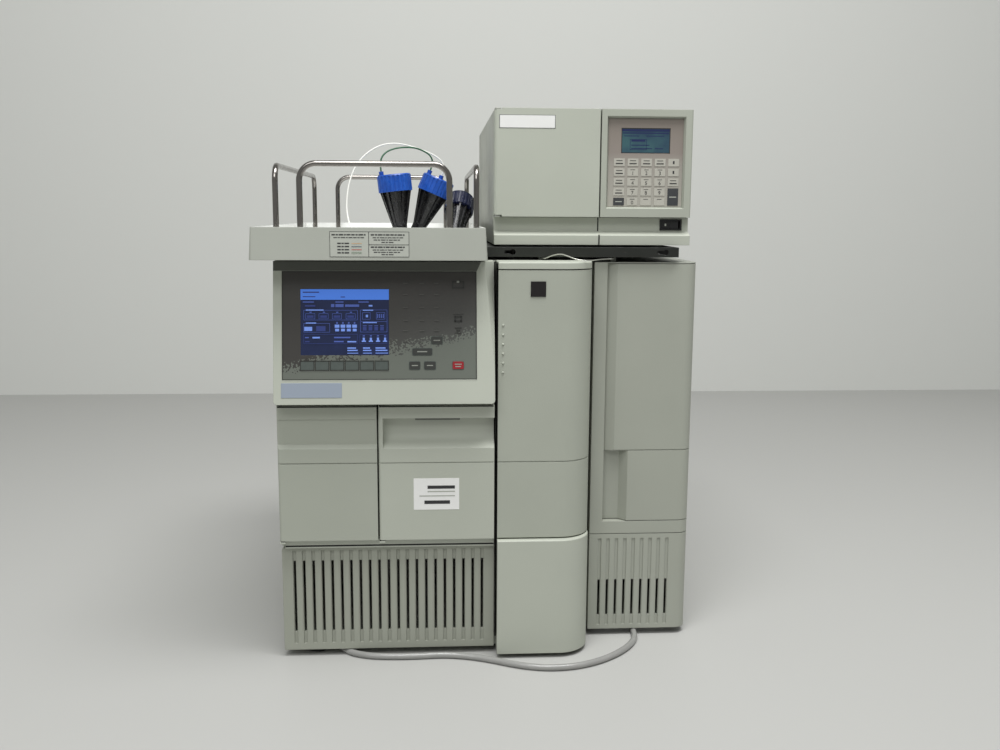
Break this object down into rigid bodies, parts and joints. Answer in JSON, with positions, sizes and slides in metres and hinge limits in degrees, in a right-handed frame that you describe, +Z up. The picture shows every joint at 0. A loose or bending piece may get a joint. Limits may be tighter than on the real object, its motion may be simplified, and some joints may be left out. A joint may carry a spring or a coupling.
{
  "type": "liquid chromatography system",
  "caption": "Stacked liquid chromatography bench system: separations module with column heater, solvent tray and detector.",
  "frame": {"origin": "bottom centre of the whole stack, on the bench", "axes": "+Z up, +X to the right of someone facing the instrument, -Y towards them"},
  "size_m": [0.624, 0.6545, 0.782],
  "materials": {
    "body_plastic": "fine moulded texture",
    "body_paint": "textured paint",
    "heater_paint": "textured paint",
    "dark_metal": "satin",
    "bare_steel": "brushed",
    "polished_steel": "polished",
    "overlay": "printed film",
    "detector_film": "printed film",
    "screen": "glossy",
    "key_plastic": "satin",
    "light_key": "satin",
    "badge_metal": "satin",
    "liner_plastic": "satin",
    "tray_plastic": "fine moulded texture",
    "cap_plastic": "semi gloss",
    "neck_plastic": "satin",
    "black_plastic": "satin",
    "foam": "matt",
    "rubber": "matt",
    "hose_plastic": "translucent",
    "white_tube": "satin",
    "green_tube": "satin",
    "glass": "clear",
    "ceramic_white": "satin"
  },
  "bodies": {
    "cabinet": {"base_pan": "body_paint", "leveling_feet": "rubber", "cabinet_cover": "body_paint", "rear_panel": "body_paint", "inner_chassis": "bare_steel", "front_frame": "body_plastic", "lower_grille": "body_plastic", "display_bezel": "body_plastic", "keypad_overlay": "overlay", "display_screen": "screen", "display_keys": "key_plastic", "tower_cap": "body_plastic", "tower_lower_cover": "body_plastic", "syringe_drive": "black_plastic", "syringe_barrel": "glass", "sample_chamber": "foam", "fluidics_panel": "bare_steel", "pump_heads": "polished_steel", "gradient_valve": "ceramic_white", "vent_valve_body": "polished_steel", "drip_tray": "liner_plastic", "fan_frame": "black_plastic", "heater_housing": "heater_paint", "heater_grille": "body_plastic", "heater_liner": "foam", "column_tube": "polished_steel", "column_clips": "bare_steel", "detector_shelf": "dark_metal", "detector_base": "body_plastic", "detector_cover": "body_paint", "detector_bezel": "body_plastic", "detector_overlay": "detector_film", "detector_screen": "screen", "detector_keys": "light_key", "switch_frame": "black_plastic", "lamp_housing": "badge_metal", "flow_cell": "bare_steel", "hinge_pins": "bare_steel", "solvent_tray": "tray_plastic", "tray_liner": "liner_plastic", "tray_rails": "polished_steel", "bottle_caps": "cap_plastic", "cap_skirts": "neck_plastic", "drain_hose": "hose_plastic", "capillary_tube": "bare_steel", "white_line": "white_tube", "green_line": "green_tube"},
    "tower_door": {"tower_door": "body_plastic", "tower_badge": "badge_metal"},
    "left_door": {"left_door": "body_plastic"},
    "sample_door": {"sample_door": "body_plastic"},
    "sample_latch": {"sample_latch": "body_plastic"},
    "syringe_plunger": {"syringe_plunger": "bare_steel"},
    "carousel": {"carousel_wheel": "black_plastic", "sample_vials": "glass"},
    "vent_valve_knob": {"vent_valve_knob": "black_plastic"},
    "fan_rotor": {"fan_rotor": "black_plastic"},
    "heater_door": {"heater_door": "body_plastic"},
    "detector_door": {"detector_door": "body_plastic"},
    "power_rocker": {"power_rocker": "black_plastic"}
  },
  "joints": [
    {"name": "tower_door_hinge", "type": "hinge", "parent": "cabinet", "child": "tower_door", "pos_m": [0.149, -0.224, 0.37], "axis": [0, 0, 1], "range_deg": [0, 100]},
    {"name": "left_door_hinge", "type": "hinge", "parent": "cabinet", "child": "left_door", "pos_m": [-0.284, -0.277, 0.275], "axis": [0, 0, 1], "range_deg": [-100, 0]},
    {"name": "sample_door_hinge", "type": "hinge", "parent": "cabinet", "child": "sample_door", "pos_m": [-0.1445, -0.277, 0.275], "axis": [0, 0, 1], "range_deg": [-100, 0]},
    {"name": "sample_latch_pivot", "type": "hinge", "parent": "sample_door", "child": "sample_latch", "pos_m": [-0.066, -0.2725, 0.3615], "axis": [1, 0, 0], "range_deg": [0, 10], "stiffness_Nm_per_rad": 0.05},
    {"name": "syringe_slide", "type": "slide", "parent": "cabinet", "child": "syringe_plunger", "axis": [0, 0, 1], "range_m": [-0.014, 0.009]},
    {"name": "carousel_spin", "type": "hinge", "parent": "cabinet", "child": "carousel", "pos_m": [-0.06725, -0.1465, 0.2], "axis": [0, 0, 1], "continuous": true},
    {"name": "vent_valve_turn", "type": "hinge", "parent": "cabinet", "child": "vent_valve_knob", "pos_m": [0.116, -0.197, 0.42], "axis": [0, 1, 0], "range_deg": [0, 180]},
    {"name": "fan_spin", "type": "hinge", "parent": "cabinet", "child": "fan_rotor", "pos_m": [0.032, 0.294, 0.12], "axis": [0, 1, 0], "continuous": true},
    {"name": "heater_door_hinge", "type": "hinge", "parent": "cabinet", "child": "heater_door", "pos_m": [0.309, -0.192, 0.37], "axis": [0, 0, 1], "range_deg": [0, 110]},
    {"name": "detector_door_hinge", "type": "hinge", "parent": "cabinet", "child": "detector_door", "pos_m": [0.0205, -0.206, 0.706], "axis": [0, 0, 1], "range_deg": [-110, 0]},
    {"name": "rocker_pivot", "type": "hinge", "parent": "cabinet", "child": "power_rocker", "pos_m": [0.273, -0.19, 0.6205], "axis": [0, 0, 1], "range_deg": [0, 16]}
  ]
}
